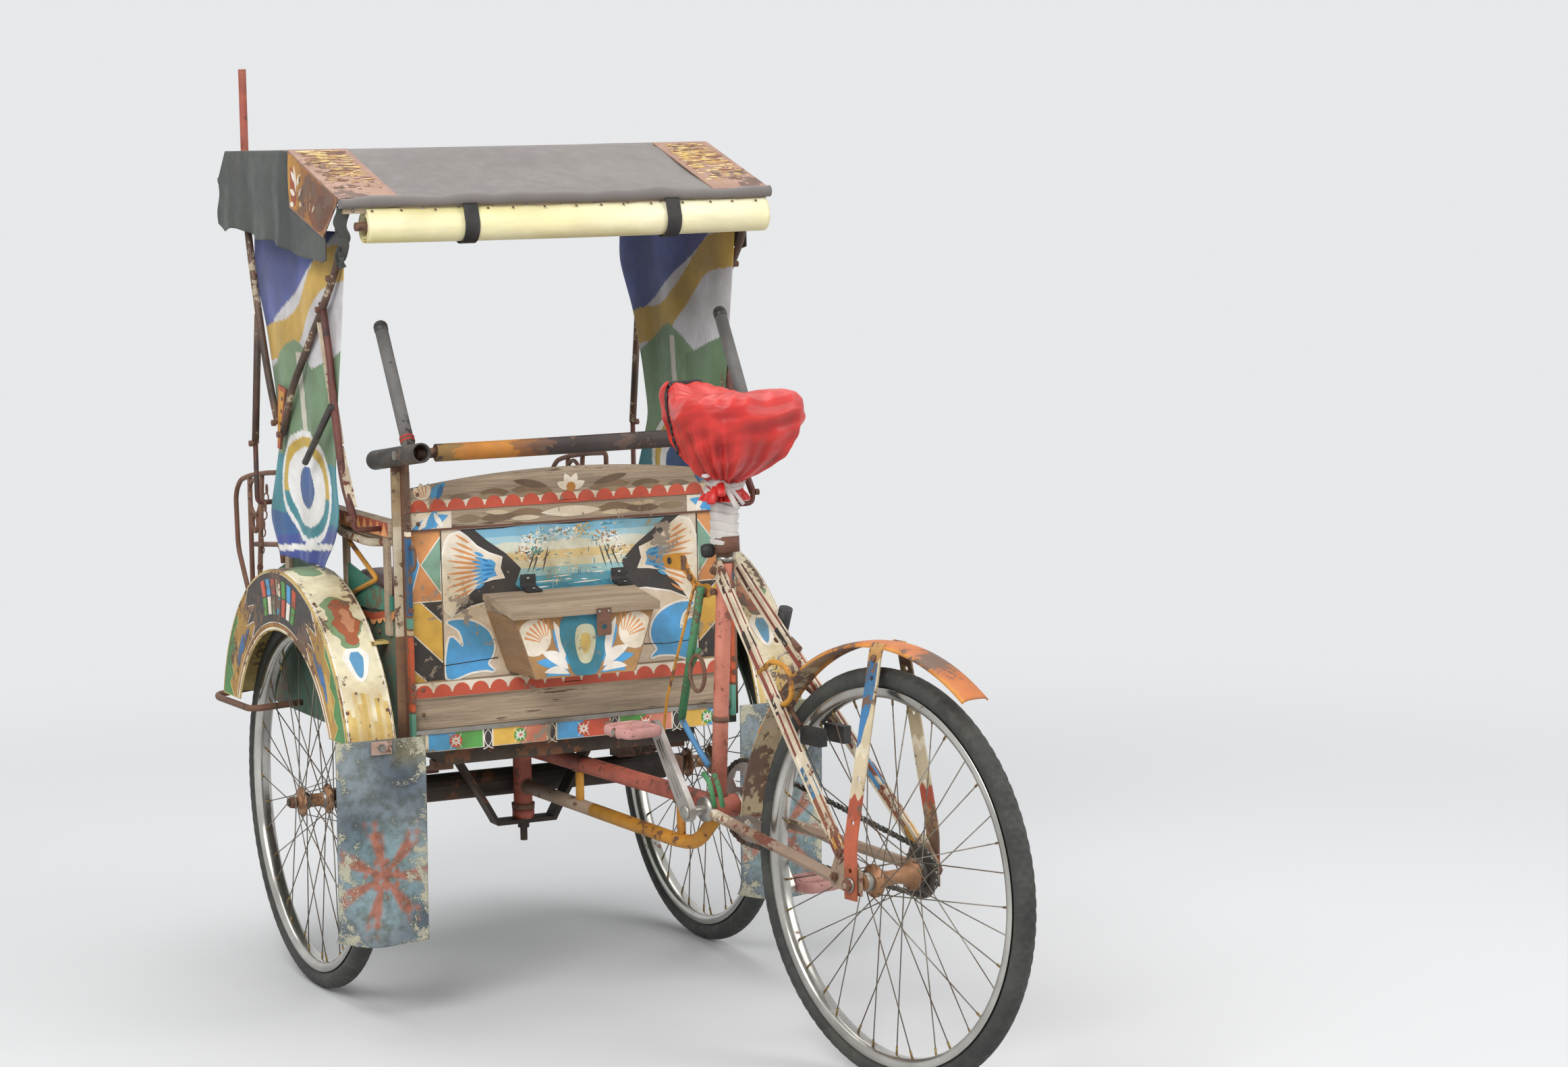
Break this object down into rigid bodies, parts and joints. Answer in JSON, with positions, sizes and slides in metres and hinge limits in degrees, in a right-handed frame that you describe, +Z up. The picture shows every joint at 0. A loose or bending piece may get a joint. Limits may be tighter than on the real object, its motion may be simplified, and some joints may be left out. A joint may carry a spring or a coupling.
{
  "type": "cycle rickshaw",
  "caption": "Cycle rickshaw with a hooded passenger seat in front over two wheels and a pedal-driven, steered rear frame.",
  "frame": {"origin": "on the floor below the middle of the vehicle's overall length and width", "axes": "+X to the vehicle's right, +Y forward towards the passengers' opening, +Z up"},
  "size_m": [0.97, 2.1175, 1.7291],
  "materials": {
    "tyre": "worn matt rubber with dust",
    "wheel_metal": "old chrome with rust",
    "frame_red": "worn gloss",
    "stay_cream": "worn gloss",
    "ochre": "worn gloss",
    "dark_iron": "dirty matt",
    "chrome": "old chrome",
    "steel": "bright strip",
    "wood": "weathered",
    "painted_wood": "painted",
    "guard_paint": "painted, worn",
    "roof_sheet": "dull tarpaulin",
    "cap_gold": "rusty paint",
    "skirt": "matt",
    "blind": "vinyl cloth",
    "curtain": "printed vinyl",
    "cushion": "vinyl",
    "saddle": "thin nylon",
    "wrap": "cloth strips",
    "flap": "painted rubber sheet",
    "pole": "gloss",
    "pedal": "painted rubber",
    "black_paint": "worn gloss"
  },
  "bodies": {
    "cabin": {"mudguard_left": "guard_paint", "mudguard_right": "guard_paint", "hood_ribs_left": "ochre", "hood_ribs_right": "ochre", "front_axle": "dark_iron", "leaf_springs": "dark_iron", "chassis": "dark_iron", "kingpin_hanger": "dark_iron", "floor_board": "wood", "side_walls": "painted_wood", "rear_panel": "painted_wood", "rear_sill": "steel", "corner_uprights": "frame_red", "seat_bench": "wood", "seat_cushions": "cushion", "armrests": "painted_wood", "front_ironwork": "black_paint", "push_bar": "black_paint", "mudflaps": "flap", "curtains": "curtain", "roof_cover": "roof_sheet", "roof_caps": "cap_gold", "roof_frame": "dark_iron", "roof_skirts": "skirt", "rolled_blind": "blind", "flag_pole": "pole", "tool_box": "wood"},
    "front_wheel_left": {"wheel_front_left": "wheel_metal", "tyre_front_left": "tyre"},
    "front_wheel_right": {"wheel_front_right": "wheel_metal", "tyre_front_right": "tyre"},
    "tool_box_lid": {"tool_box_lid": "wood"},
    "rear_frame": {"rear_frame": "frame_red", "rear_stays": "stay_cream", "rear_fender": "stay_cream", "saddle": "saddle", "seat_post": "wrap", "brake_linkage": "frame_red", "chain": "dark_iron"},
    "rear_wheel": {"wheel_rear": "wheel_metal", "tyre_rear": "tyre"},
    "crank": {"crankset": "chrome"},
    "pedal_left": {"pedal_left": "pedal"},
    "pedal_right": {"pedal_right": "pedal"}
  },
  "joints": [
    {"name": "front_wheel_left_spin", "type": "hinge", "parent": "cabin", "child": "front_wheel_left", "pos_m": [-0.4, 0.45536, 0.355], "axis": [1, 0, 0], "continuous": true},
    {"name": "front_wheel_right_spin", "type": "hinge", "parent": "cabin", "child": "front_wheel_right", "pos_m": [0.4, 0.45536, 0.355], "axis": [1, 0, 0], "continuous": true},
    {"name": "steering", "type": "hinge", "parent": "cabin", "child": "rear_frame", "pos_m": [0, 0.40036, 0.4], "axis": [0, 0, 1], "range_deg": [-31, 9]},
    {"name": "tool_box_lid_hinge", "type": "hinge", "parent": "cabin", "child": "tool_box_lid", "pos_m": [-0.033, 0.13506, 0.77242], "axis": [-1, 0, 0], "range_deg": [0, 90]},
    {"name": "rear_wheel_spin", "type": "hinge", "parent": "rear_frame", "child": "rear_wheel", "pos_m": [0.21561, -0.70888, 0.355], "axis": [0.9816, 0.1908, 0], "continuous": true},
    {"name": "crank_spin", "type": "hinge", "parent": "rear_frame", "child": "crank", "pos_m": [0.12326, -0.23377, 0.405], "axis": [0.9816, 0.1908, 0], "continuous": true},
    {"name": "pedal_left_spin", "type": "hinge", "parent": "crank", "child": "pedal_left", "pos_m": [-0.01267, -0.16335, 0.54594], "axis": [0.9816, 0.1908, 0], "continuous": true},
    {"name": "pedal_right_spin", "type": "hinge", "parent": "crank", "child": "pedal_right", "pos_m": [0.2592, -0.30419, 0.26406], "axis": [0.9816, 0.1908, 0], "continuous": true}
  ]
}
